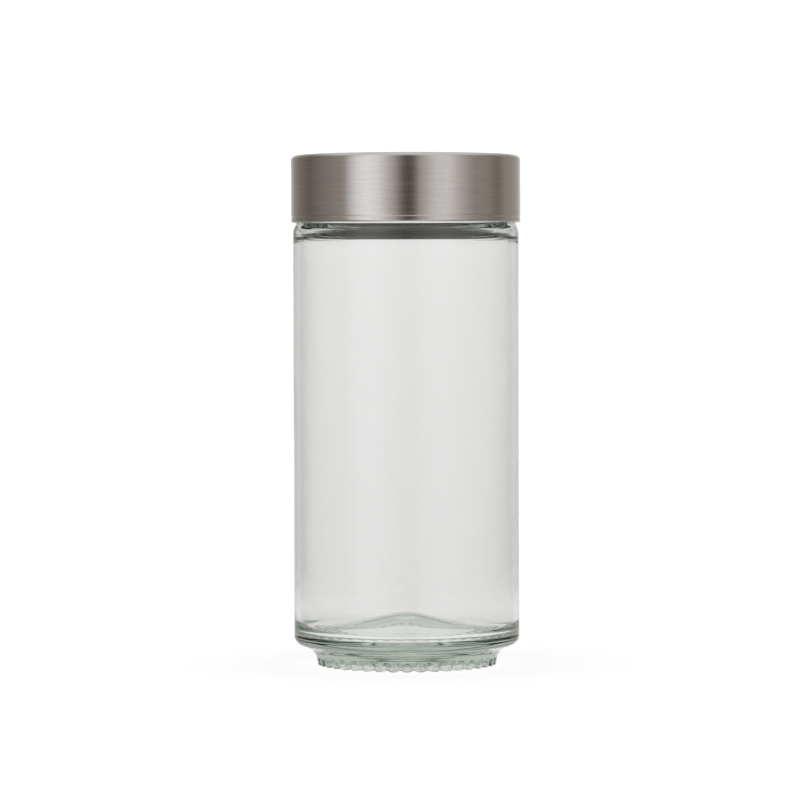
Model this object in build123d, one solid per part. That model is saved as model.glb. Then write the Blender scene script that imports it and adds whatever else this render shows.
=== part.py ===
from build123d import *
import os
from math import cos, radians, sin, tan

# Coin bank jar: a clear glass jar with a brushed steel screw lid that has a coin slot in its top.
# Millimetres, +Z up, origin at the middle of the plane that the foot stands on.

# Glass body
BODY_RADIUS = 50.0
WALL = 2.3
SHOULDER_Z = 191.0
SHOULDER_RADIUS = 8.0
SHOULDER_SLOPE = 45.0
INNER_SHOULDER_Z = 186.2
INNER_SHOULDER_RADIUS = 9.0

# Glass foot: a bearing ring, a cove above it, and a heel that swells out to the body
FOOT_RADIUS = 39.7
FOOT_EDGE_RADIUS = 0.65
BEARING_INNER_RADIUS = 34.0
BEARING_EDGE_RADIUS = 1.0
COVE_CORNER_Z = 6.3
COVE_RADIUS = 8.0
HEEL_CORNER_Z = 10.05
HEEL_RADIUS = 4.2
KNURL_COUNT = 40
KNURL_TOOL_RADIUS = 2.2
KNURL_DEPTH = 0.9
KNURL_SLOPE = 60.0
KNURL_TOOL_LENGTH = 10.0

# Glass floor: a cone that rises to the middle, hollow below
FLOOR_APEX_Z = 23.2
FLOOR_SLOPE = 15.3
FLOOR_CORNER_RADIUS = 7.0
APEX_FLAT_RADIUS = 4.0
APEX_BLEND_RADIUS = 15.0
UNDERSIDE_APEX_Z = 14.5
UNDERSIDE_CORNER = (31.6, 3.4)
UNDERSIDE_BLEND_RADIUS = 4.0

# Glass finish: the neck with its transfer bead, thread and rim
NECK_RADIUS = 46.4
MOUTH_RADIUS = 43.3
NECK_ROOT_RADIUS = 1.0
NECK_INNER_BLEND_RADIUS = 3.0
RIM_Z = 221.6
RIM_RADIUS = 1.5
BEAD_RADIUS = 47.7
BEAD_Z = 202.5
BEAD_HEIGHT = 4.2
BEAD_FLAT = 1.6
BEAD_ROOT_RADIUS = 0.5
BEAD_CREST_RADIUS = 1.0

# Thread: 5 turns per inch, one start, right-hand
PITCH = 5.08
THREAD_TURNS = 1.25
THREAD_BURY = 0.3
GLASS_THREAD_CREST_RADIUS = 47.7
GLASS_THREAD_Z = 210.5
GLASS_THREAD_BASE = 2.8
GLASS_THREAD_CREST = 1.2
CAP_THREAD_CREST_RADIUS = 46.9
CAP_THREAD_BASE = 2.2
CAP_THREAD_CREST = 0.9
CAP_THREAD_DROP = 1.95
CAP_THREAD_LEAD_TURNS = 0.25

# Lid shell: drawn steel cup with a hem rolled inwards
SHELL_RADIUS = 50.8
SHELL_SHEET = 0.5
SHELL_TOP_Z = 225.6
SHELL_EDGE_RADIUS = 2.2
SHELL_BOTTOM_Z = 195.7
HEM_HEIGHT = 2.2
HEM_INNER_RADIUS = 48.8
HEM_OUTER_CORNER_RADIUS = 0.8
HEM_INNER_CORNER_RADIUS = 0.6

# Lid insert: moulded cap inside the shell
SHELL_TO_INSERT_GAP = 0.1
HEM_TO_INSERT_GAP = 0.2
INSERT_TOP = 1.8
INSERT_INNER_RADIUS = 48.2
SEAL_RIB_RADII = (40.8, 42.0)
SEAL_RIB_HEIGHT = 1.8
SEAL_RIB_EDGE_RADIUS = 0.3
INSERT_SKIRT_OUTER_EDGE_RADIUS = 0.3
INSERT_SKIRT_INNER_EDGE_RADIUS = 0.5

# Coin slot
SLOT_LENGTH = 38.0
SLOT_WIDTH = 5.0
SLOT_CORNER_RADIUS = 1.5
SLOT_COLLAR_WALL = 1.2
SLOT_COLLAR_PROUD = 0.4
SLOT_COLLAR_GAP = 0.15
SLOT_CUT_OVERRUN = 1.0

# Gasket
GASKET_RADII = (42.2, 47.8)
GASKET_THICKNESS = 1.5
GASKET_GAP = 0.1
GASKET_EDGE_RADIUS = 0.3

INSERT_TOP_Z = SHELL_TOP_Z - SHELL_SHEET
INSERT_UNDERSIDE_Z = INSERT_TOP_Z - INSERT_TOP


def turned(points, fillets):
    """Solid of revolution about Z from a closed outline of (radius, height) corners, each with its fillet."""
    outline = FilletPolyline(*points, radius=fillets, close=True)
    return revolve(Plane.XZ * make_face(outline), Axis.Z)


def glass_blank():
    """The jar before its thread and knurls: foot, heel, body, shoulder, neck, rim, inside wall and floor."""
    inner_radius = BODY_RADIUS - WALL
    slope = tan(radians(SHOULDER_SLOPE / 2))
    shoulder_z = SHOULDER_Z + SHOULDER_RADIUS * slope
    inner_shoulder_z = INNER_SHOULDER_Z + INNER_SHOULDER_RADIUS * slope
    neck_z = shoulder_z + (BODY_RADIUS - NECK_RADIUS) * tan(radians(SHOULDER_SLOPE))
    inner_neck_z = inner_shoulder_z + (inner_radius - MOUTH_RADIUS) * tan(radians(SHOULDER_SLOPE))
    floor_fall = tan(radians(FLOOR_SLOPE))
    floor_corner_z = FLOOR_APEX_Z - (inner_radius - APEX_FLAT_RADIUS) * floor_fall
    corners = [
        ((0, UNDERSIDE_APEX_Z), 0),
        ((APEX_FLAT_RADIUS, UNDERSIDE_APEX_Z), APEX_BLEND_RADIUS),
        (UNDERSIDE_CORNER, UNDERSIDE_BLEND_RADIUS),
        ((BEARING_INNER_RADIUS, 0), BEARING_EDGE_RADIUS),
        ((FOOT_RADIUS, 0), FOOT_EDGE_RADIUS),
        ((FOOT_RADIUS, COVE_CORNER_Z), COVE_RADIUS),
        ((BODY_RADIUS, HEEL_CORNER_Z), HEEL_RADIUS),
        ((BODY_RADIUS, shoulder_z), SHOULDER_RADIUS),
        ((NECK_RADIUS, neck_z), NECK_ROOT_RADIUS),
        ((NECK_RADIUS, BEAD_Z - BEAD_HEIGHT / 2), BEAD_ROOT_RADIUS),
        ((BEAD_RADIUS, BEAD_Z - BEAD_FLAT / 2), BEAD_CREST_RADIUS),
        ((BEAD_RADIUS, BEAD_Z + BEAD_FLAT / 2), BEAD_CREST_RADIUS),
        ((NECK_RADIUS, BEAD_Z + BEAD_HEIGHT / 2), BEAD_ROOT_RADIUS),
        ((NECK_RADIUS, RIM_Z), RIM_RADIUS),
        ((MOUTH_RADIUS, RIM_Z), RIM_RADIUS),
        ((MOUTH_RADIUS, inner_neck_z), NECK_INNER_BLEND_RADIUS),
        ((inner_radius, inner_shoulder_z), INNER_SHOULDER_RADIUS),
        ((inner_radius, floor_corner_z), FLOOR_CORNER_RADIUS),
        ((APEX_FLAT_RADIUS, FLOOR_APEX_Z), APEX_BLEND_RADIUS),
        ((0, FLOOR_APEX_Z), 0),
    ]
    return turned([point for point, _ in corners], [fillet for _, fillet in corners])


def knurl_grooves():
    """Round grooves across the foot's lower edge, evenly spaced, that leave a ring of beads between them."""
    rise = radians(KNURL_SLOPE)
    edge_r = FOOT_RADIUS - FOOT_EDGE_RADIUS + FOOT_EDGE_RADIUS * sin(rise)
    edge_z = FOOT_EDGE_RADIUS - FOOT_EDGE_RADIUS * cos(rise)
    stand_off = KNURL_TOOL_RADIUS - KNURL_DEPTH
    axis_r = edge_r + stand_off * sin(rise)
    axis_z = edge_z - stand_off * cos(rise)
    across = Plane(origin=(axis_r, 0, axis_z), x_dir=(0, 1, 0), z_dir=(cos(rise), 0, sin(rise)))
    groove = across * Cylinder(KNURL_TOOL_RADIUS, KNURL_TOOL_LENGTH)
    return [Rot(0, 0, 360 * i / KNURL_COUNT) * groove for i in range(KNURL_COUNT)]


def thread_ridge(root_radius, crest_radius, start_z, turns, base, crest, start_angle=0.0):
    """Helical ridge with a trapezium section, buried a little in the wall that it stands on."""
    outward = 1 if crest_radius > root_radius else -1
    flank = (base - crest) / 2 / abs(crest_radius - root_radius)
    buried_radius = root_radius - outward * THREAD_BURY
    buried_half = base / 2 + flank * THREAD_BURY
    section = Polyline(
        (buried_radius, -buried_half),
        (crest_radius, -crest / 2),
        (crest_radius, crest / 2),
        (buried_radius, buried_half),
        close=True,
    )
    path = Helix(pitch=PITCH, height=turns * PITCH, radius=root_radius)
    ridge = sweep(Plane.XZ * make_face(section), path=path, is_frenet=True)
    return Pos(0, 0, start_z) * Rot(0, 0, start_angle) * ridge


def glass_jar():
    """The jar: a blank with its thread added and its knurls cut."""
    ridge = thread_ridge(
        NECK_RADIUS,
        GLASS_THREAD_CREST_RADIUS,
        GLASS_THREAD_Z,
        THREAD_TURNS,
        GLASS_THREAD_BASE,
        GLASS_THREAD_CREST,
    )
    return glass_blank() + ridge - knurl_grooves()


def slot_prism(margin, low_z, high_z):
    """Upright prism of the coin slot's outline, grown by margin all round."""
    outline = RectangleRounded(
        SLOT_LENGTH + 2 * margin, SLOT_WIDTH + 2 * margin, SLOT_CORNER_RADIUS + margin
    )
    return Pos(0, 0, low_z) * extrude(outline, high_z - low_z)


def lid_shell():
    """Drawn cup with a rounded top edge, a hem rolled inwards and a punched slot."""
    inner_radius = SHELL_RADIUS - SHELL_SHEET
    hem_top_z = SHELL_BOTTOM_Z + HEM_HEIGHT
    corners = [
        ((0, SHELL_TOP_Z), 0),
        ((SHELL_RADIUS, SHELL_TOP_Z), SHELL_EDGE_RADIUS),
        ((SHELL_RADIUS, SHELL_BOTTOM_Z), HEM_OUTER_CORNER_RADIUS),
        ((HEM_INNER_RADIUS, SHELL_BOTTOM_Z), HEM_INNER_CORNER_RADIUS),
        ((HEM_INNER_RADIUS, hem_top_z), HEM_INNER_CORNER_RADIUS),
        ((inner_radius, hem_top_z), 0),
        ((inner_radius, INSERT_TOP_Z), SHELL_EDGE_RADIUS - SHELL_SHEET),
        ((0, INSERT_TOP_Z), 0),
    ]
    cup = turned([point for point, _ in corners], [fillet for _, fillet in corners])
    margin = SLOT_COLLAR_WALL + SLOT_COLLAR_GAP
    return cup - slot_prism(margin, INSERT_TOP_Z - SLOT_CUT_OVERRUN, SHELL_TOP_Z + SLOT_CUT_OVERRUN)


def lid_insert():
    """Moulded cap with a female thread, a rib that holds the gasket, and a collar through the coin slot."""
    outer_radius = SHELL_RADIUS - SHELL_SHEET - SHELL_TO_INSERT_GAP
    bottom_z = SHELL_BOTTOM_Z + HEM_HEIGHT + HEM_TO_INSERT_GAP
    rib_inner, rib_outer = SEAL_RIB_RADII
    rib_bottom_z = INSERT_UNDERSIDE_Z - SEAL_RIB_HEIGHT
    corners = [
        ((0, INSERT_TOP_Z), 0),
        ((outer_radius, INSERT_TOP_Z), SHELL_EDGE_RADIUS),
        ((outer_radius, bottom_z), INSERT_SKIRT_OUTER_EDGE_RADIUS),
        ((INSERT_INNER_RADIUS, bottom_z), INSERT_SKIRT_INNER_EDGE_RADIUS),
        ((INSERT_INNER_RADIUS, INSERT_UNDERSIDE_Z), 0),
        ((rib_outer, INSERT_UNDERSIDE_Z), 0),
        ((rib_outer, rib_bottom_z), SEAL_RIB_EDGE_RADIUS),
        ((rib_inner, rib_bottom_z), SEAL_RIB_EDGE_RADIUS),
        ((rib_inner, INSERT_UNDERSIDE_Z), 0),
        ((0, INSERT_UNDERSIDE_Z), 0),
    ]
    cap = turned([point for point, _ in corners], [fillet for _, fillet in corners])
    ridge = thread_ridge(
        INSERT_INNER_RADIUS,
        CAP_THREAD_CREST_RADIUS,
        GLASS_THREAD_Z - CAP_THREAD_DROP - CAP_THREAD_LEAD_TURNS * PITCH,
        THREAD_TURNS,
        CAP_THREAD_BASE,
        CAP_THREAD_CREST,
        start_angle=-360 * CAP_THREAD_LEAD_TURNS,
    )
    collar_top_z = SHELL_TOP_Z + SLOT_COLLAR_PROUD
    collar = slot_prism(SLOT_COLLAR_WALL, INSERT_UNDERSIDE_Z, collar_top_z)
    slot = slot_prism(0, INSERT_UNDERSIDE_Z - SLOT_CUT_OVERRUN, collar_top_z + SLOT_CUT_OVERRUN)
    return cap + ridge + collar - slot


def lid_gasket():
    """Flat ring that lies in the insert's recess, over the glass rim."""
    inner, outer = GASKET_RADII
    top_z = INSERT_UNDERSIDE_Z - GASKET_GAP
    bottom_z = top_z - GASKET_THICKNESS
    corners = [(inner, bottom_z), (outer, bottom_z), (outer, top_z), (inner, top_z)]
    return turned(corners, [GASKET_EDGE_RADIUS] * len(corners))


os.makedirs("parts", exist_ok=True)
for name, solid in {
    "glass_jar": glass_jar(),
    "lid_shell": lid_shell(),
    "lid_insert": lid_insert(),
    "lid_gasket": lid_gasket(),
}.items():
    export_step(solid, f"parts/{name}.step")
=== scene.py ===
"""Looks for the coin bank jar: finely turned glass, steel and plastic in a white studio."""

from math import ceil, cos, degrees, pi, radians, sin, tan

import bmesh
import bpy
from mathutils import Matrix, Vector, noise


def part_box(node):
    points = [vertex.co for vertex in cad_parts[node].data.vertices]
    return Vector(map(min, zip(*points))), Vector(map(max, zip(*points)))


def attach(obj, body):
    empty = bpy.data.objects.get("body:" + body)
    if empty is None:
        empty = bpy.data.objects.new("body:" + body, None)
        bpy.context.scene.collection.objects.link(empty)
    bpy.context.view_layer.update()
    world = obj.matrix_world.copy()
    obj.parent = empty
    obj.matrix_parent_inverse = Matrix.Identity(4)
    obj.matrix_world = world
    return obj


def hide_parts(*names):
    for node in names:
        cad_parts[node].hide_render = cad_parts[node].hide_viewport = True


MM = 0.001

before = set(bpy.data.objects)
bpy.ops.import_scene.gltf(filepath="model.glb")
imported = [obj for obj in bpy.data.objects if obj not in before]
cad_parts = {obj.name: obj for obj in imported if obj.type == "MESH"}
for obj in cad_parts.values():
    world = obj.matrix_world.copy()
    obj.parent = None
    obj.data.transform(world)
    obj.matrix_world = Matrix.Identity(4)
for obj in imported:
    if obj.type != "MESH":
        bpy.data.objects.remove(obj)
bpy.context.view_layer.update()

# Sizes are in millimetres. The outer ones come from the frame.
JAR_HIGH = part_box("glass_jar")[1] / MM
SHELL_LOW, SHELL_HIGH = (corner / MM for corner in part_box("lid_shell"))
INSERT_LOW, INSERT_HIGH = (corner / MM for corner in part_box("lid_insert"))
GASKET_LOW, GASKET_HIGH = (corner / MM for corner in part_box("lid_gasket"))

# Glass body, shoulder and neck
BODY_RADIUS = JAR_HIGH.x
RIM_Z = JAR_HIGH.z
WALL = 2.3
SHOULDER_SLOPE = 45.0
SHOULDER_Z = 191.0
SHOULDER_RADIUS = 8.0
INNER_SHOULDER_Z = 186.2
INNER_SHOULDER_RADIUS = 9.0
NECK_RADIUS = 46.4
MOUTH_RADIUS = 43.3
NECK_ROOT_RADIUS = 1.0
NECK_INNER_BLEND_RADIUS = 3.0
RIM_RADIUS = 1.5
BEAD_RADIUS = 47.7
BEAD_Z = 202.5
BEAD_HEIGHT = 4.2
BEAD_FLAT = 1.6
BEAD_FOOT_RADIUS = 0.5
BEAD_EDGE_RADIUS = 1.0
WALL_WAVE_HEIGHT = 0.10
WALL_WAVES_AROUND = 1.7
WALL_WAVES_UP = 0.0204

# Glass foot, heel and floor
FOOT_RADIUS = 39.7
FOOT_EDGE_RADIUS = 0.65
BEARING_INNER_RADIUS = 34.0
BEARING_EDGE_RADIUS = 1.0
COVE_CORNER_Z = 6.3
COVE_RADIUS = 8.0
HEEL_CORNER_Z = 10.05
HEEL_RADIUS = 4.2
FLOOR_APEX_Z = 23.2
FLOOR_SLOPE = 15.3
FLOOR_CORNER_RADIUS = 7.0
APEX_FLAT_RADIUS = 4.0
APEX_BLEND_RADIUS = 15.0
UNDERSIDE_APEX_Z = 14.5
UNDERSIDE_CORNER = (31.6, 3.4)
UNDERSIDE_BLEND_RADIUS = 4.0
KNURL_COUNT = 40
KNURL_DEPTH = 1.1
KNURL_TOP_Z = 4.2
KNURL_FULL_Z = 2.4
KNURL_WIDTH = 2.4
KNURL_FULL_MARGIN = 0.3
KNURL_RISE = 0.7
KNURL_RISE_Z = (0.3, 1.6)
SEAM_HEIGHT = 0.05
SEAM_HALF_ANGLE = 0.002

# Threads
PITCH = 5.08
THREAD_TURNS = 1.25
THREAD_FADE_TURNS = 0.06
GLASS_THREAD_Z = 210.5
CAP_THREAD_DROP = 1.95
CAP_THREAD_LEAD_TURNS = 0.25
THREAD_HEIGHT = 1.3
THREAD_HALF_WIDTH = 1.3
THREAD_CREST_SHARE = 0.3

# Lid
SHEET = 0.5
SHELL_EDGE_RADIUS = 2.2
HEM_HEIGHT = 2.2
HEM_INNER_RADIUS = 48.8
HEM_EDGE_RADIUS = 1.0
HEM_INNER_EDGE_RADIUS = 0.9
HEM_TOP_RADIUS = 0.6
HEM_GROOVE_DEPTH = 0.18
HEM_GROOVE_HALF_WIDTH = 0.4
HEM_GROOVE_RADIUS = 0.2
SLOT_EDGE_ROUND = 0.1
INSERT_TOP = 1.8
INSERT_INNER_RADIUS = 48.2
INSERT_INNER_EDGE_RADIUS = 0.5
INSERT_EDGE_RADIUS = 0.4
SEAL_RIB_RADII = (40.8, 42.0)
SEAL_RIB_HEIGHT = 1.8
SEAL_RIB_ROOT_RADIUS = 0.4
SEAL_RIB_EDGE_RADIUS = 0.3
GASKET_INNER_RADIUS = 42.2
GASKET_EDGE_RADIUS = 0.3
SLOT_LENGTH = 38.0
SLOT_WIDTH = 5.0
SLOT_CORNER_RADIUS = 1.5
SLOT_COLLAR_WALL = 1.2
SLOT_COLLAR_GAP = 0.15
COLLAR_EDGE = 0.3
COLLAR_EDGE_MIDDLE = 0.1
SLOT_MOUTH_EDGE = 0.4
SLOT_MOUTH_EDGE_MIDDLE = 0.12
SLOT_BLEND_RADIUS = 25.0

# Fineness of the meshes: points around, degrees between points on a fillet, and spacing of rings
GLASS_SEGMENTS = 400
LID_SEGMENTS = 360
GLASS_ARC_STEP = 7.0
GLASS_SPACING = 8.0
FINE_SPACING = 0.5
SLOT_RINGS = 5
SAME_RADIUS = 0.01


# Mesh tools


def smooth_step(low, high, value):
    t = min(1.0, max(0.0, (value - low) / (high - low)))
    return t * t * (3 - 2 * t)


def corner_arc(before, corner, after, radius, step):
    """Points of a fillet of that radius in the corner, about one every step degrees."""
    to_before = (before - corner).normalized()
    to_after = (after - corner).normalized()
    half = to_before.angle(to_after) / 2
    centre = corner + (to_before + to_after).normalized() * (radius / sin(half))
    start = corner + to_before * (radius / tan(half)) - centre
    end = corner + to_after * (radius / tan(half)) - centre
    turn = pi - 2 * half
    count = max(2, round(degrees(turn) / step))
    shares = [i / count for i in range(count + 1)]
    return [centre + (start * sin((1 - t) * turn) + end * sin(t * turn)) / sin(turn) for t in shares]


def rounded_outline(corners, step=5.0, spacing=5.0):
    """Outline from (radius, height, fillet) corners: arcs at the corners, straights cut at spacing."""
    places = [Vector(corner[:2]) for corner in corners]
    outline = []
    for i, (place, corner) in enumerate(zip(places, corners)):
        fillet = corner[2]
        stretch = corner_arc(places[i - 1], place, places[i + 1], fillet, step) if fillet else [place]
        if outline:
            gap = stretch[0] - outline[-1]
            cuts = max(1, ceil(gap.length / spacing))
            outline += [outline[-1] + gap * (k / cuts) for k in range(1, cuts)]
        outline += stretch
    return outline


def refined(outline, wanted, spacing):
    """The outline with the stretches that wanted(a, b) picks cut finely."""
    fine = []
    for a, b in zip(outline, outline[1:]):
        cuts = max(1, ceil((b - a).length / spacing)) if wanted(a, b) else 1
        fine += [a + (b - a) * (k / cuts) for k in range(cuts)]
    return fine + [outline[-1]]


def circle_ring(r, z, segments, shape=None):
    """Ring of points about Z. shape(r, z, angle) may move each one."""
    ring = []
    for i in range(segments):
        angle = 2 * pi * i / segments
        radius, height = shape(r, z, angle) if shape else (r, z)
        ring.append(Vector((radius * cos(angle), radius * sin(angle), height)))
    return ring


def slot_ring(margin, z, segments):
    """Ring of points, evenly spaced, round the coin slot's outline grown by margin."""
    corner = SLOT_CORNER_RADIUS + margin
    half_x = SLOT_LENGTH / 2 + margin - corner
    half_y = SLOT_WIDTH / 2 + margin - corner
    arc = corner * pi / 2
    lengths = [half_y, arc, 2 * half_x, arc, 2 * half_y, arc, 2 * half_x, arc, half_y]
    total = sum(lengths)
    ring = []
    for i in range(segments):
        along = total * i / segments
        part = 0
        while along > lengths[part]:
            along -= lengths[part]
            part += 1
        side, is_arc = divmod(part, 2)
        turn = side * pi / 2
        if is_arc:
            turn += along / corner
        elif part > 0:
            along -= lengths[part] / 2
        normal = Vector((cos(turn), sin(turn)))
        signs = [(1, 1), (-1, 1), (-1, -1), (1, -1)][side % 4]
        if is_arc:
            centre = Vector((signs[0] * half_x, signs[1] * half_y))
            point = centre + normal * corner
        else:
            reach = half_x if side % 2 == 0 else half_y
            point = normal * (reach + corner) + Vector((-normal.y, normal.x)) * along
        ring.append(Vector((point.x, point.y, z)))
    return ring


def between(ring_a, ring_b, count):
    """The rings that lead from ring_a to ring_b, without either of them."""
    shares = [k / (count + 1) for k in range(1, count + 1)]
    return [[a.lerp(b, t) for a, b in zip(ring_a, ring_b)] for t in shares]


def skin(name, rings, closed=False):
    """Smooth mesh over the rings. A ring of one point closes an end; closed joins last to first."""
    bm = bmesh.new()
    rows = [[bm.verts.new(point * MM) for point in ring] for ring in rings]
    pairs = list(zip(rows, rows[1:]))
    if closed:
        pairs.append((rows[-1], rows[0]))
    for low, high in pairs:
        for i in range(max(len(low), len(high))):
            j = i + 1
            quad = [low[i % len(low)], low[j % len(low)], high[j % len(high)], high[i % len(high)]]
            bm.faces.new(dict.fromkeys(quad))
    bmesh.ops.recalc_face_normals(bm, faces=bm.faces)
    mesh = bpy.data.meshes.new(name)
    bm.to_mesh(mesh)
    bm.free()
    mesh.shade_smooth()
    piece = bpy.data.objects.new(name, mesh)
    bpy.context.scene.collection.objects.link(piece)
    return piece


def outline_rings(outline, segments, shape=None):
    """Rings of a turned outline. A point on the axis gives a ring of one point."""
    return [
        circle_ring(r, z, segments, shape) if r > 0 else [Vector((0, 0, z))]
        for r, z in outline
    ]


def fit(piece, material, body, node):
    """Gives the piece its material, and its place in the frame."""
    piece.data.materials.append(material)
    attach(piece, body)
    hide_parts(node)


# Glass jar


def glass_corners():
    inner = BODY_RADIUS - WALL
    half_turn = tan(radians(SHOULDER_SLOPE / 2))
    rise = tan(radians(SHOULDER_SLOPE))
    shoulder_z = SHOULDER_Z + SHOULDER_RADIUS * half_turn
    inner_shoulder_z = INNER_SHOULDER_Z + INNER_SHOULDER_RADIUS * half_turn
    neck_z = shoulder_z + (BODY_RADIUS - NECK_RADIUS) * rise
    inner_neck_z = inner_shoulder_z + (inner - MOUTH_RADIUS) * rise
    floor_corner_z = FLOOR_APEX_Z - (inner - APEX_FLAT_RADIUS) * tan(radians(FLOOR_SLOPE))
    return [
        (0, UNDERSIDE_APEX_Z, 0),
        (APEX_FLAT_RADIUS, UNDERSIDE_APEX_Z, APEX_BLEND_RADIUS),
        (*UNDERSIDE_CORNER, UNDERSIDE_BLEND_RADIUS),
        (BEARING_INNER_RADIUS, 0, BEARING_EDGE_RADIUS),
        (FOOT_RADIUS, 0, FOOT_EDGE_RADIUS),
        (FOOT_RADIUS, COVE_CORNER_Z, COVE_RADIUS),
        (BODY_RADIUS, HEEL_CORNER_Z, HEEL_RADIUS),
        (BODY_RADIUS, shoulder_z, SHOULDER_RADIUS),
        (NECK_RADIUS, neck_z, NECK_ROOT_RADIUS),
        (NECK_RADIUS, BEAD_Z - BEAD_HEIGHT / 2, BEAD_FOOT_RADIUS),
        (BEAD_RADIUS, BEAD_Z - BEAD_FLAT / 2, BEAD_EDGE_RADIUS),
        (BEAD_RADIUS, BEAD_Z + BEAD_FLAT / 2, BEAD_EDGE_RADIUS),
        (NECK_RADIUS, BEAD_Z + BEAD_HEIGHT / 2, BEAD_FOOT_RADIUS),
        (NECK_RADIUS, RIM_Z, RIM_RADIUS),
        (MOUTH_RADIUS, RIM_Z, RIM_RADIUS),
        (MOUTH_RADIUS, inner_neck_z, NECK_INNER_BLEND_RADIUS),
        (inner, inner_shoulder_z, INNER_SHOULDER_RADIUS),
        (inner, floor_corner_z, FLOOR_CORNER_RADIUS),
        (APEX_FLAT_RADIUS, FLOOR_APEX_Z, APEX_BLEND_RADIUS),
        (0, FLOOR_APEX_Z, 0),
    ]


def thread_lift(z, angle, start_z, start_turns):
    """Height of a thread ridge, 0 to 1, at that height and angle."""
    lift = 0.0
    for turn in range(3):
        turns = angle / (2 * pi) - start_turns + turn - 1
        if 0 < turns < THREAD_TURNS:
            offset = abs(z - start_z - turns * PITCH) / THREAD_HALF_WIDTH
            ends = smooth_step(0, THREAD_FADE_TURNS, min(turns, THREAD_TURNS - turns))
            lift = max(lift, ends * (1 - smooth_step(THREAD_CREST_SHARE, 1, offset)))
    return lift


def knurled(r, z, angle):
    """Foot's lower edge, drawn in and up between its beads."""
    groove = (0.5 - 0.5 * cos(KNURL_COUNT * angle)) ** 2
    outward = smooth_step(FOOT_RADIUS - KNURL_WIDTH, FOOT_RADIUS - KNURL_FULL_MARGIN, r)
    edge = outward * (1 - smooth_step(KNURL_FULL_Z, KNURL_TOP_Z, z))
    depth = KNURL_DEPTH * groove * edge
    return r - depth, z + KNURL_RISE * depth * (1 - smooth_step(*KNURL_RISE_Z, z))


def is_finish(r, z):
    """Whether the place is on the neck above its bead, where the thread is."""
    return abs(r - NECK_RADIUS) < SAME_RADIUS and z > BEAD_Z


def glass_shape(r, z, angle):
    """Adds the beads on the foot, the mould's seam, the thread and the inner wall's slow waves."""
    inner = BODY_RADIUS - WALL
    if z < KNURL_TOP_Z and r > FOOT_RADIUS - KNURL_WIDTH:
        return knurled(r, z, angle)
    if r > inner + SAME_RADIUS and abs(sin(angle)) < SEAM_HALF_ANGLE:
        return r + SEAM_HEIGHT, z
    if is_finish(r, z):
        return r + THREAD_HEIGHT * thread_lift(z, angle, GLASS_THREAD_Z, 0), z
    if abs(r - inner) < SAME_RADIUS:
        around = WALL_WAVES_AROUND
        place = Vector((around * cos(angle), around * sin(angle), WALL_WAVES_UP * z))
        return r + WALL_WAVE_HEIGHT * noise.noise(place), z
    return r, z


def needs_fine_rings(a, b):
    low = max(a.y, b.y) < KNURL_TOP_Z + FINE_SPACING
    on_foot = low and min(a.x, b.x) > FOOT_RADIUS - KNURL_WIDTH
    return on_foot or (is_finish(*a) and is_finish(*b))


def make_glass():
    outline = rounded_outline(glass_corners(), GLASS_ARC_STEP, GLASS_SPACING)
    outline = refined(outline, needs_fine_rings, FINE_SPACING)
    glass = skin("jar_glass", outline_rings(outline, GLASS_SEGMENTS, glass_shape))
    fit(glass, glass_material(), "jar", "glass_jar")


# Lid


def make_shell():
    top_z = SHELL_HIGH.z
    under_z = top_z - SHEET
    low_z = SHELL_LOW.z
    outer = SHELL_HIGH.x
    hem_z = low_z + HEM_HEIGHT
    edge = SLOT_COLLAR_WALL + SLOT_COLLAR_GAP
    cup = rounded_outline([
        (SLOT_BLEND_RADIUS, top_z, 0),
        (outer, top_z, SHELL_EDGE_RADIUS),
        (outer, hem_z + 2 * HEM_GROOVE_HALF_WIDTH, HEM_GROOVE_RADIUS),
        (outer - HEM_GROOVE_DEPTH, hem_z + HEM_GROOVE_HALF_WIDTH, HEM_GROOVE_RADIUS),
        (outer, hem_z, HEM_GROOVE_RADIUS),
        (outer, low_z, HEM_EDGE_RADIUS),
        (HEM_INNER_RADIUS, low_z, HEM_INNER_EDGE_RADIUS),
        (HEM_INNER_RADIUS, hem_z, HEM_TOP_RADIUS),
        (outer - SHEET, hem_z, 0),
        (outer - SHEET, under_z, SHELL_EDGE_RADIUS - SHEET),
        (SLOT_BLEND_RADIUS, under_z, 0),
    ])
    slot = [
        slot_ring(edge, under_z, LID_SEGMENTS),
        slot_ring(edge, top_z - SLOT_EDGE_ROUND, LID_SEGMENTS),
        slot_ring(edge + SLOT_EDGE_ROUND, top_z, LID_SEGMENTS),
    ]
    cup_rings = outline_rings(cup, LID_SEGMENTS)
    top = between(slot[-1], cup_rings[0], SLOT_RINGS)
    under = between(cup_rings[-1], slot[0], SLOT_RINGS)
    rings = slot + top + cup_rings + under
    shell = skin("lid_steel", rings, closed=True)
    fit(shell, steel_material(), "lid", "lid_shell")


def cap_thread(r, z, angle):
    if abs(r - INSERT_INNER_RADIUS) > SAME_RADIUS:
        return r, z
    start_z = GLASS_THREAD_Z - CAP_THREAD_DROP - CAP_THREAD_LEAD_TURNS * PITCH
    return r - THREAD_HEIGHT * thread_lift(z, angle, start_z, -CAP_THREAD_LEAD_TURNS), z


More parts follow.
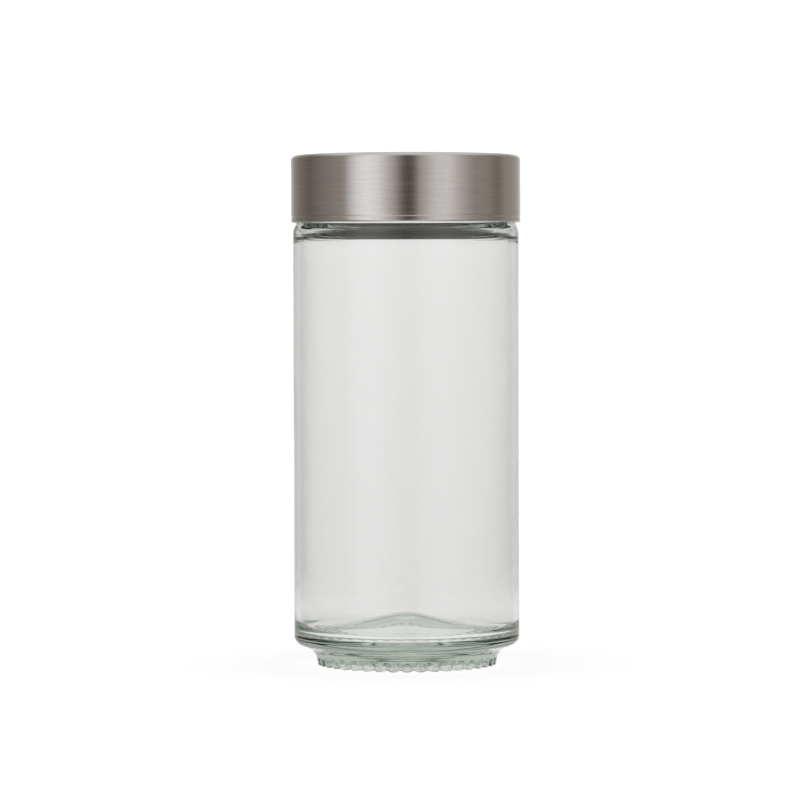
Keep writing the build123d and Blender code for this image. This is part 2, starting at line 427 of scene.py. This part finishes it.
def make_insert():
    lip_z = INSERT_HIGH.z
    top_z = SHELL_HIGH.z - SHEET
    under_z = top_z - INSERT_TOP
    rib_in, rib_out = SEAL_RIB_RADII
    rib_z = under_z - SEAL_RIB_HEIGHT
    body = rounded_outline([
        (SLOT_BLEND_RADIUS, under_z, 0),
        (rib_in, under_z, SEAL_RIB_ROOT_RADIUS),
        (rib_in, rib_z, SEAL_RIB_EDGE_RADIUS),
        (rib_out, rib_z, SEAL_RIB_EDGE_RADIUS),
        (rib_out, under_z, 0),
        (INSERT_INNER_RADIUS, under_z, 0),
        (INSERT_INNER_RADIUS, INSERT_LOW.z, INSERT_INNER_EDGE_RADIUS),
        (INSERT_HIGH.x, INSERT_LOW.z, INSERT_EDGE_RADIUS),
        (INSERT_HIGH.x, top_z, SHELL_EDGE_RADIUS),
        (SLOT_BLEND_RADIUS, top_z, 0),
    ])
    body = refined(body, lambda a, b: a.x == b.x == INSERT_INNER_RADIUS, FINE_SPACING)
    body_rings = outline_rings(body, LID_SEGMENTS, cap_thread)
    collar_steps = [
        (SLOT_COLLAR_WALL, top_z),
        (SLOT_COLLAR_WALL, lip_z - COLLAR_EDGE),
        (SLOT_COLLAR_WALL - COLLAR_EDGE_MIDDLE, lip_z - COLLAR_EDGE_MIDDLE),
        (SLOT_COLLAR_WALL - COLLAR_EDGE, lip_z),
        (SLOT_MOUTH_EDGE, lip_z),
        (SLOT_MOUTH_EDGE_MIDDLE, lip_z - SLOT_MOUTH_EDGE_MIDDLE),
        (0, lip_z - SLOT_MOUTH_EDGE),
        (0, under_z + COLLAR_EDGE),
        (COLLAR_EDGE_MIDDLE, under_z + COLLAR_EDGE_MIDDLE),
        (COLLAR_EDGE, under_z),
    ]
    collar = [slot_ring(margin, z, LID_SEGMENTS) for margin, z in collar_steps]
    top = between(body_rings[-1], collar[0], SLOT_RINGS)
    under = between(collar[-1], body_rings[0], SLOT_RINGS)
    rings = body_rings + top + collar + under
    insert = skin("lid_cap", rings, closed=True)
    fit(insert, plastic_material(), "lid", "lid_insert")


def make_gasket():
    outer = GASKET_HIGH.x
    low_z = GASKET_LOW.z
    high_z = GASKET_HIGH.z
    outline = rounded_outline([
        (GASKET_INNER_RADIUS, (low_z + high_z) / 2, 0),
        (GASKET_INNER_RADIUS, low_z, GASKET_EDGE_RADIUS),
        (outer, low_z, GASKET_EDGE_RADIUS),
        (outer, high_z, GASKET_EDGE_RADIUS),
        (GASKET_INNER_RADIUS, high_z, GASKET_EDGE_RADIUS),
        (GASKET_INNER_RADIUS, (low_z + high_z) / 2, 0),
    ])
    gasket = skin("lid_seal", outline_rings(outline[:-1], LID_SEGMENTS), closed=True)
    fit(gasket, silicone_material(), "gasket", "lid_gasket")


# Materials


def new_material(name):
    """Material with a Principled shader: returns it, its nodes, its links and the shader."""
    material = bpy.data.materials.new(name)
    material.use_nodes = True
    tree = material.node_tree
    return material, tree.nodes, tree.links, tree.nodes["Principled BSDF"]


def math_node(nodes, links, operation, a, b=None):
    node = nodes.new("ShaderNodeMath")
    node.operation = operation
    for socket, value in zip(node.inputs, (a, b)):
        if value is None:
            continue
        if isinstance(value, (int, float)):
            socket.default_value = value
        else:
            links.new(value, socket)
    return node.outputs[0]


def noise_node(nodes, links, vector, scale, detail, rough=0.5):
    node = nodes.new("ShaderNodeTexNoise")
    node.inputs["Scale"].default_value = scale
    node.inputs["Detail"].default_value = detail
    node.inputs["Roughness"].default_value = rough
    links.new(vector, node.inputs["Vector"])
    return node.outputs["Fac"]


def spread(nodes, links, value, low, high):
    """Maps a noise value, which stays mostly within 0.3 to 0.7, to the range low to high."""
    node = nodes.new("ShaderNodeMapRange")
    node.inputs["From Min"].default_value = 0.3
    node.inputs["From Max"].default_value = 0.7
    node.inputs["To Min"].default_value = low
    node.inputs["To Max"].default_value = high
    links.new(value, node.inputs["Value"])
    return node.outputs["Result"]


def smooth_range(nodes, start_end, from_to):
    """Node that maps a value smoothly: from_to[0] up to start_end[0], from_to[1] past start_end[1]."""
    node = nodes.new("ShaderNodeMapRange")
    node.interpolation_type = "SMOOTHSTEP"
    node.inputs["From Min"].default_value = start_end[0]
    node.inputs["From Max"].default_value = start_end[1]
    node.inputs["To Min"].default_value = from_to[0]
    node.inputs["To Max"].default_value = from_to[1]
    return node


def bump(nodes, links, height, distance, strength=1.0):
    node = nodes.new("ShaderNodeBump")
    node.inputs["Strength"].default_value = strength
    node.inputs["Distance"].default_value = distance
    links.new(height, node.inputs["Height"])
    return node.outputs["Normal"]


def colour_between(nodes, links, share, dark, light):
    """Colour from dark to light. Each is an RGB triple, or a colour socket."""
    node = nodes.new("ShaderNodeMix")
    node.data_type = "RGBA"
    links.new(share, node.inputs["Factor"])
    for socket, colour in ((node.inputs["A"], dark), (node.inputs["B"], light)):
        if isinstance(colour, tuple):
            socket.default_value = (*colour, 1)
        else:
            links.new(colour, socket)
    return node.outputs["Result"]


def object_place(nodes):
    return nodes.new("ShaderNodeTexCoord").outputs["Object"]


def glass_material():
    material, nodes, links, shader = new_material("clear_glass")
    shader.inputs["Base Color"].default_value = (0.865, 0.865, 0.86, 1)
    shader.inputs["IOR"].default_value = 1.52
    shader.inputs["Transmission Weight"].default_value = 1.0
    place = object_place(nodes)
    smear = noise_node(nodes, links, place, scale=60.0, detail=4.0)
    links.new(spread(nodes, links, smear, low=0.0, high=0.02), shader.inputs["Roughness"])
    ripple = noise_node(nodes, links, place, scale=55.0, detail=1.0)
    links.new(bump(nodes, links, ripple, distance=0.00012), shader.inputs["Normal"])
    absorption = nodes.new("ShaderNodeVolumeAbsorption")
    absorption.inputs["Color"].default_value = (0.20, 0.36, 0.23, 1)
    absorption.inputs["Density"].default_value = 10.0
    links.new(absorption.outputs["Volume"], nodes["Material Output"].inputs["Volume"])
    return material


def steel_material():
    """Stainless sheet brushed around its axis: streaks run round the rim and in circles on the top."""
    material, nodes, links, shader = new_material("brushed_steel")
    shader.inputs["Metallic"].default_value = 1.0
    shader.inputs["Anisotropic"].default_value = 0.75
    shader.inputs["Anisotropic Rotation"].default_value = 0.25
    tangent = nodes.new("ShaderNodeTangent")
    tangent.direction_type = "RADIAL"
    tangent.axis = "Z"
    links.new(tangent.outputs["Tangent"], shader.inputs["Tangent"])

    parts = nodes.new("ShaderNodeSeparateXYZ")
    links.new(object_place(nodes), parts.inputs["Vector"])
    x, y, z = parts.outputs
    x2 = math_node(nodes, links, "MULTIPLY", x, x)
    y2 = math_node(nodes, links, "MULTIPLY", y, y)
    radius = math_node(nodes, links, "SQRT", math_node(nodes, links, "ADD", x2, y2))
    across = math_node(nodes, links, "SUBTRACT", radius, z)

    def streaks(per_metre_along, per_metre_across, detail):
        vector = nodes.new("ShaderNodeCombineXYZ")
        links.new(math_node(nodes, links, "MULTIPLY", x, per_metre_along), vector.inputs["X"])
        links.new(math_node(nodes, links, "MULTIPLY", y, per_metre_along), vector.inputs["Y"])
        links.new(math_node(nodes, links, "MULTIPLY", across, per_metre_across), vector.inputs["Z"])
        return noise_node(nodes, links, vector.outputs["Vector"], scale=1.0, detail=detail, rough=0.6)

    fine = streaks(per_metre_along=120.0, per_metre_across=5200.0, detail=2.0)
    coarse = streaks(per_metre_along=45.0, per_metre_across=900.0, detail=3.0)
    handling = noise_node(nodes, links, object_place(nodes), scale=28.0, detail=3.0)
    fine_tone = spread(nodes, links, fine, low=0, high=0.5)
    coarse_tone = spread(nodes, links, coarse, low=0, high=0.5)
    tone = math_node(nodes, links, "ADD", fine_tone, coarse_tone)
    colour = colour_between(nodes, links, tone, (0.55, 0.522, 0.507), (0.645, 0.62, 0.602))
    links.new(colour, shader.inputs["Base Color"])
    brushed = spread(nodes, links, coarse, low=0.15, high=0.24)
    handled = spread(nodes, links, handling, low=-0.03, high=0.05)
    rough = math_node(nodes, links, "ADD", brushed, handled)
    links.new(rough, shader.inputs["Roughness"])
    links.new(bump(nodes, links, fine, distance=0.00001, strength=0.6), shader.inputs["Normal"])
    return material


def plastic_material():
    material, nodes, links, shader = new_material("dark_plastic")
    grain = noise_node(nodes, links, object_place(nodes), scale=2600.0, detail=2.0)
    flow = noise_node(nodes, links, object_place(nodes), scale=45.0, detail=2.0)
    colour = colour_between(nodes, links, flow, (0.24, 0.25, 0.21), (0.28, 0.29, 0.25))
    links.new(colour, shader.inputs["Base Color"])
    links.new(spread(nodes, links, flow, low=0.34, high=0.48), shader.inputs["Roughness"])
    links.new(bump(nodes, links, grain, distance=0.00003), shader.inputs["Normal"])
    return material


def silicone_material():
    material, nodes, links, shader = new_material("grey_silicone")
    shader.inputs["IOR"].default_value = 1.41
    haze = noise_node(nodes, links, object_place(nodes), scale=90.0, detail=3.0)
    colour = colour_between(nodes, links, haze, (0.50, 0.50, 0.48), (0.62, 0.62, 0.60))
    links.new(colour, shader.inputs["Base Color"])
    links.new(spread(nodes, links, haze, low=0.5, high=0.65), shader.inputs["Roughness"])
    return material


# Studio

CAMERA_DISTANCE = 1.685
CAMERA_HEIGHT = 0.1683
CAMERA_AIM_HEIGHT = 0.1173
CAMERA_SIDE = -0.0028
CAMERA_ROLL = -0.17
CAMERA_FIELD = 12.02

# Brightness of the studio's walls, as reflections show them, by azimuth in degrees: 0 is -Y and 90 is +X
WALLS = [
    (-180, 1.0), (-165, 0.62), (-150, 0.36), (-130, 0.24), (-112, 0.17), (-98, 0.25), (-64, 0.38),
    (-58, 0.72), (-48, 1.08), (-38, 1.18), (-28, 1.05), (-19, 0.72), (-11, 0.50), (-4, 0.20), (1, 0.09),
    (6, 0.11), (10, 0.25), (14, 0.50), (20, 0.60), (29, 0.82), (43, 0.90), (58, 0.58), (73, 0.37),
    (90, 0.35), (106, 0.22), (118, 0.36), (140, 0.42), (158, 0.55), (172, 1.0), (180, 1.0),
]
# The same for what is seen through glass: a white backdrop behind the jar, a little darker beside it
BACKDROP = [
    (-180, 1.09), (-177, 1.08), (-174, 1.05), (-171, 0.92), (-168, 0.80), (-160, 0.76), (-145, 0.90),
    (-130, 1.0), (130, 1.0), (145, 0.90), (160, 0.78), (168, 0.84), (172, 0.95), (175, 1.04),
    (177, 1.08), (180, 1.09),
]
# The backdrop's further brightness by height, as the sine of the elevation
BACKDROP_HEIGHTS = [(-1, 1.0), (-0.2, 1.0), (-0.09, 0.94), (0.03, 1.03), (1, 1.0)]
# How much blue the walls' dark parts lack, and the brightness over which that fades out
WARMTH = 0.18
WARM_LEVELS = (0.35, 0.8)
CEILING = 0.85
CEILING_HEIGHTS = (0.45, 0.85)
ROOM = 1.1
TABLE_RADIUS = 0.6
TABLE_FADE_START = 0.25
TABLE_SIDES = 96
TABLE_COLOURS = ((0.34, 0.34, 0.34), (0.36, 0.36, 0.36))
# Painted pool of light on the table under the jar: within these radii, in metres, the glow rises to the
# stronger level below. It lifts the jar's shadow on the table and brightens the base seen through the
# glass.
PAINTED_SPOT_RADII = (0.028, 0.06)
PAINTED_LIGHT_UNDER_JAR = 0.95
TABLE_GLOW = 0.68


def make_camera():
    data = bpy.data.cameras.new("camera")
    data.sensor_width = 36
    data.lens = data.sensor_width / 2 / tan(radians(CAMERA_FIELD / 2))
    data.clip_start = 0.05
    data.clip_end = 30
    camera = bpy.data.objects.new("camera", data)
    bpy.context.scene.collection.objects.link(camera)
    camera.location = (CAMERA_SIDE, -CAMERA_DISTANCE, CAMERA_HEIGHT)
    aim = Vector((0, CAMERA_DISTANCE, CAMERA_AIM_HEIGHT - CAMERA_HEIGHT))
    look = aim.to_track_quat("-Z", "Y").to_matrix()
    camera.rotation_euler = (look @ Matrix.Rotation(radians(CAMERA_ROLL), 3, "Z")).to_euler()
    bpy.context.scene.camera = camera


def glowing_table_painted_spot_material():
    material, nodes, links, shader = new_material("glowing_table_painted_spot")
    shader.inputs["Roughness"].default_value = 0.9
    shader.inputs["Specular IOR Level"].default_value = 0.0
    place = object_place(nodes)
    mottle = noise_node(nodes, links, place, scale=6.0, detail=4.0)
    colour = colour_between(nodes, links, mottle, *TABLE_COLOURS)
    links.new(colour, shader.inputs["Base Color"])
    distance = nodes.new("ShaderNodeVectorMath")
    distance.operation = "LENGTH"
    links.new(place, distance.inputs[0])
    # Painted pool of light: the table glows more under the jar, over the jar's shadow.
    glow_with_painted_spot = smooth_range(nodes, PAINTED_SPOT_RADII, (PAINTED_LIGHT_UNDER_JAR, TABLE_GLOW))
    links.new(distance.outputs["Value"], glow_with_painted_spot.inputs["Value"])
    shader.inputs["Emission Color"].default_value = (1, 1, 1, 1)
    links.new(glow_with_painted_spot.outputs["Result"], shader.inputs["Emission Strength"])
    fade = smooth_range(nodes, (TABLE_FADE_START, TABLE_RADIUS), (1, 0))
    links.new(distance.outputs["Value"], fade.inputs["Value"])
    links.new(fade.outputs["Result"], shader.inputs["Alpha"])
    return material


def make_floor():
    """White light table. It glows evenly, more under the jar as a painted pool of light that lifts the
    jar's shadow, and fades into the room at its edge.
    """
    mesh = bpy.data.meshes.new("floor")
    turns = [2 * pi * i / TABLE_SIDES for i in range(TABLE_SIDES)]
    rim = [(TABLE_RADIUS * cos(turn), TABLE_RADIUS * sin(turn), 0) for turn in turns]
    mesh.from_pydata(rim, [], [tuple(range(TABLE_SIDES))])
    floor = bpy.data.objects.new("floor", mesh)
    bpy.context.scene.collection.objects.link(floor)
    mesh.materials.append(glowing_table_painted_spot_material())
    floor.visible_glossy = False


def level_ramp(nodes, links, value, levels):
    """Brightness by the value, from a list of (value, brightness) that covers its whole range."""
    low, high = levels[0][0], levels[-1][0]
    share = nodes.new("ShaderNodeMapRange")
    share.inputs["From Min"].default_value = low
    share.inputs["From Max"].default_value = high
    links.new(value, share.inputs["Value"])
    ramp = nodes.new("ShaderNodeValToRGB")
    stops = ramp.color_ramp.elements
    while len(stops) < len(levels):
        stops.new(1.0)
    for stop, (place, level) in zip(stops, levels):
        stop.position = (place - low) / (high - low)
        warm = WARMTH * (1 - smooth_step(*WARM_LEVELS, level))
        stop.color = (level, level * (1 - warm / 2), level * (1 - warm), 1)
    links.new(share.outputs["Result"], ramp.inputs["Fac"])
    return ramp.outputs["Color"]


def make_world():
    """White room, seen directly and as light. Reflections show uneven walls; glass shows the backdrop."""
    world = bpy.data.worlds.new("studio")
    bpy.context.scene.world = world
    world.use_nodes = True
    nodes = world.node_tree.nodes
    links = world.node_tree.links
    parts = nodes.new("ShaderNodeSeparateXYZ")
    links.new(nodes.new("ShaderNodeTexCoord").outputs["Generated"], parts.inputs["Vector"])
    x, y, z = parts.outputs
    azimuth = math_node(nodes, links, "ARCTAN2", x, math_node(nodes, links, "MULTIPLY", y, -1.0))
    azimuth = math_node(nodes, links, "DEGREES", azimuth)
    walls = level_ramp(nodes, links, azimuth, WALLS)
    height = smooth_range(nodes, CEILING_HEIGHTS, (0, 1))
    links.new(z, height.inputs["Value"])
    ceiling = colour_between(nodes, links, height.outputs["Result"], walls, (CEILING, CEILING, CEILING))

    ray = nodes.new("ShaderNodeLightPath").outputs
    through = math_node(nodes, links, "GREATER_THAN", ray["Transmission Depth"], 0.5)
    direct = math_node(nodes, links, "MAXIMUM", ray["Is Camera Ray"], ray["Is Diffuse Ray"])
    backdrop = nodes.new("ShaderNodeVectorMath")
    backdrop.operation = "MULTIPLY"
    links.new(level_ramp(nodes, links, azimuth, BACKDROP), backdrop.inputs[0])
    links.new(level_ramp(nodes, links, z, BACKDROP_HEIGHTS), backdrop.inputs[1])
    seen_in_glass = colour_between(nodes, links, through, ceiling, backdrop.outputs["Vector"])
    room = colour_between(nodes, links, direct, seen_in_glass, (ROOM, ROOM, ROOM))
    links.new(room, nodes["Background"].inputs["Color"])


make_camera()
make_glass()
make_shell()
make_insert()
make_gasket()
make_floor()
make_world()
bpy.context.scene.view_settings.view_transform = "Standard"
bpy.context.scene.cycles.max_bounces = 40
bpy.context.scene.cycles.transmission_bounces = 40
bpy.context.scene.cycles.glossy_bounces = 24
